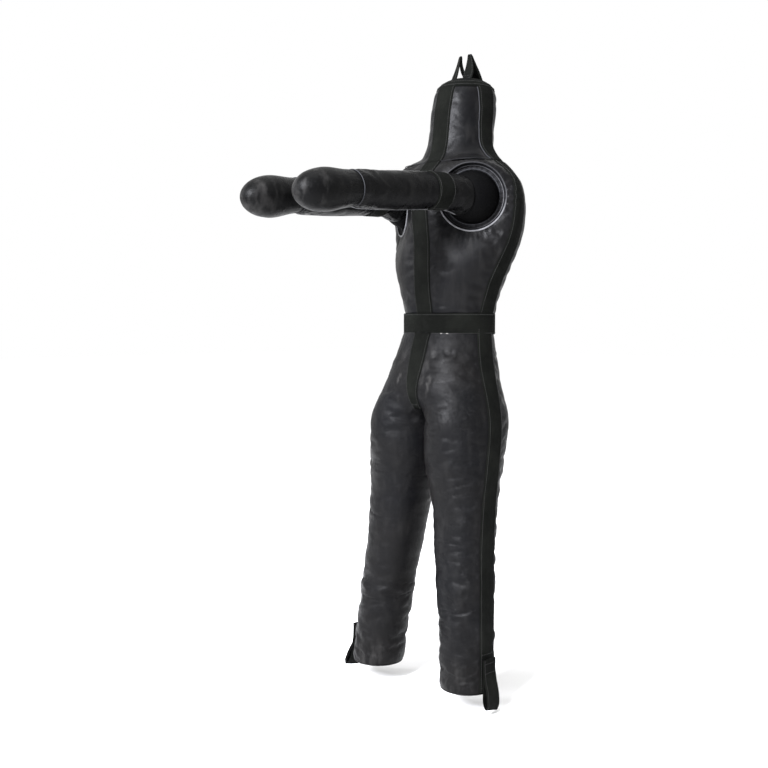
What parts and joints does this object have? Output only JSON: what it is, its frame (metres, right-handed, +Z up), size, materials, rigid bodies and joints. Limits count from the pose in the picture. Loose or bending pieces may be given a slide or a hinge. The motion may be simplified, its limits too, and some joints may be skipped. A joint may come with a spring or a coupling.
{
  "type": "grappling dummy",
  "caption": "Stuffed black leather grappling dummy with arms held forward, webbing straps, hanging loops on the head and loops at the leg ends.",
  "frame": {"origin": "point where a hook holds the two hanging loops on the head", "axes": "+Z up, the dummy faces -Y, its left arm is on +X"},
  "size_m": [0.5314, 0.8403, 1.7667],
  "materials": {
    "leather": "satin black synthetic leather",
    "filling": "compressed textile shreds",
    "webbing": "matte black woven webbing",
    "gusset_cloth": "dull black cloth",
    "piping": "satin dark grey piping",
    "zip_tape": "woven tape",
    "zip_metal": "dulled brass"
  },
  "bodies": {
    "head": {"head_cover": "leather", "head_filling": "filling", "head_front_strap": "webbing", "head_side_strap_left": "webbing", "head_side_strap_right": "webbing", "crown_patch": "webbing"},
    "hang_loop_left": {"hang_loop_left": "webbing"},
    "hang_loop_right": {"hang_loop_right": "webbing"},
    "torso": {"torso_cover": "leather", "torso_filling": "filling", "armhole_gusset_left": "gusset_cloth", "armhole_gusset_right": "gusset_cloth", "armhole_piping_left": "piping", "armhole_piping_right": "piping", "torso_front_strap": "webbing", "torso_side_strap_left": "webbing", "torso_side_strap_right": "webbing", "zip_tapes": "zip_tape", "zip_teeth": "zip_metal"},
    "zip_slider": {"zip_slider": "zip_metal"},
    "zip_pull": {"zip_pull": "zip_metal"},
    "hips": {"hip_cover": "leather", "hip_filling": "filling", "waist_belt": "webbing", "hip_front_strap": "webbing", "hip_side_strap_left": "webbing", "hip_side_strap_right": "webbing"},
    "arm_root_left": {"arm_root_left": "leather"},
    "arm_left": {"arm_sleeve_left": "leather", "arm_filling_left": "filling", "arm_band_left": "webbing"},
    "mitt_left": {"mitt_cover_left": "leather", "mitt_filling_left": "filling"},
    "leg_left": {"leg_cover_left": "leather", "leg_filling_left": "filling", "leg_end_cap_left": "leather", "leg_side_strap_left": "webbing"},
    "leg_loop_left": {"leg_loop_left": "webbing"},
    "arm_root_right": {"arm_root_right": "leather"},
    "arm_right": {"arm_sleeve_right": "leather", "arm_filling_right": "filling", "arm_band_right": "webbing"},
    "mitt_right": {"mitt_cover_right": "leather", "mitt_filling_right": "filling"},
    "leg_right": {"leg_cover_right": "leather", "leg_filling_right": "filling", "leg_end_cap_right": "leather", "leg_side_strap_right": "webbing"},
    "leg_loop_right": {"leg_loop_right": "webbing"}
  },
  "joints": [
    {"name": "neck_nod", "type": "hinge", "parent": "head", "child": "torso", "pos_m": [0, -0.021, -0.269], "axis": [1, 0, 0], "range_deg": [-20, 20], "stiffness_Nm_per_rad": 260, "springref_deg": -7.03},
    {"name": "waist_bend", "type": "hinge", "parent": "torso", "child": "hips", "pos_m": [0, -0.063, -0.716], "axis": [1, 0, 0], "range_deg": [-20, 20], "stiffness_Nm_per_rad": 220, "springref_deg": -2.61},
    {"name": "zip_slide", "type": "slide", "parent": "torso", "child": "zip_slider", "axis": [0, 0, -1], "range_m": [0, 0.14]},
    {"name": "zip_pull_hinge", "type": "hinge", "parent": "zip_slider", "child": "zip_pull", "pos_m": [0, 0.1161, -0.383], "axis": [1, 0, 0], "range_deg": [0, 150]},
    {"name": "hang_loop_flop_left", "type": "hinge", "parent": "head", "child": "hang_loop_left", "pos_m": [0.02, 0, -0.056], "axis": [0, 1, 0], "range_deg": [-8, 30], "stiffness_Nm_per_rad": 0.05},
    {"name": "arm_raise_left", "type": "hinge", "parent": "torso", "child": "arm_root_left", "pos_m": [0.11918, -0.11186, -0.412], "axis": [-1, 0, 0], "range_deg": [-17, 28], "stiffness_Nm_per_rad": 60, "springref_deg": 3.98},
    {"name": "arm_spread_left", "type": "hinge", "parent": "arm_root_left", "child": "arm_left", "pos_m": [0.11918, -0.11186, -0.412], "axis": [0, 0, 1], "range_deg": [-2, 45], "stiffness_Nm_per_rad": 40},
    {"name": "mitt_bend_left", "type": "hinge", "parent": "arm_left", "child": "mitt_left", "pos_m": [0.101, -0.552, -0.427], "axis": [-1, 0, 0], "range_deg": [-20, 20], "stiffness_Nm_per_rad": 12, "springref_deg": 1.37},
    {"name": "leg_lift_left", "type": "hinge", "parent": "hips", "child": "leg_left", "pos_m": [0.1, -0.106, -1.017], "axis": [-1, 0, 0], "range_deg": [-10, 45], "stiffness_Nm_per_rad": 120, "springref_deg": 0.92},
    {"name": "leg_loop_swing_left", "type": "hinge", "parent": "leg_left", "child": "leg_loop_left", "pos_m": [0.2435, -0.182, -1.687], "axis": [0, -1, 0], "range_deg": [-8, 95]},
    {"name": "hang_loop_flop_right", "type": "hinge", "parent": "head", "child": "hang_loop_right", "pos_m": [-0.02, 0, -0.056], "axis": [0, -1, 0], "range_deg": [-8, 30], "stiffness_Nm_per_rad": 0.05},
    {"name": "arm_raise_right", "type": "hinge", "parent": "torso", "child": "arm_root_right", "pos_m": [-0.11918, -0.11186, -0.412], "axis": [-1, 0, 0], "range_deg": [-17, 28], "stiffness_Nm_per_rad": 60, "springref_deg": 3.98},
    {"name": "arm_spread_right", "type": "hinge", "parent": "arm_root_right", "child": "arm_right", "pos_m": [-0.11918, -0.11186, -0.412], "axis": [0, 0, -1], "range_deg": [-2, 45], "stiffness_Nm_per_rad": 40},
    {"name": "mitt_bend_right", "type": "hinge", "parent": "arm_right", "child": "mitt_right", "pos_m": [-0.101, -0.552, -0.427], "axis": [-1, 0, 0], "range_deg": [-20, 20], "stiffness_Nm_per_rad": 12, "springref_deg": 1.37},
    {"name": "leg_lift_right", "type": "hinge", "parent": "hips", "child": "leg_right", "pos_m": [-0.1, -0.106, -1.017], "axis": [-1, 0, 0], "range_deg": [-10, 45], "stiffness_Nm_per_rad": 120, "springref_deg": 0.92},
    {"name": "leg_loop_swing_right", "type": "hinge", "parent": "leg_right", "child": "leg_loop_right", "pos_m": [-0.2435, -0.182, -1.687], "axis": [0, 1, 0], "range_deg": [-8, 95]}
  ]
}
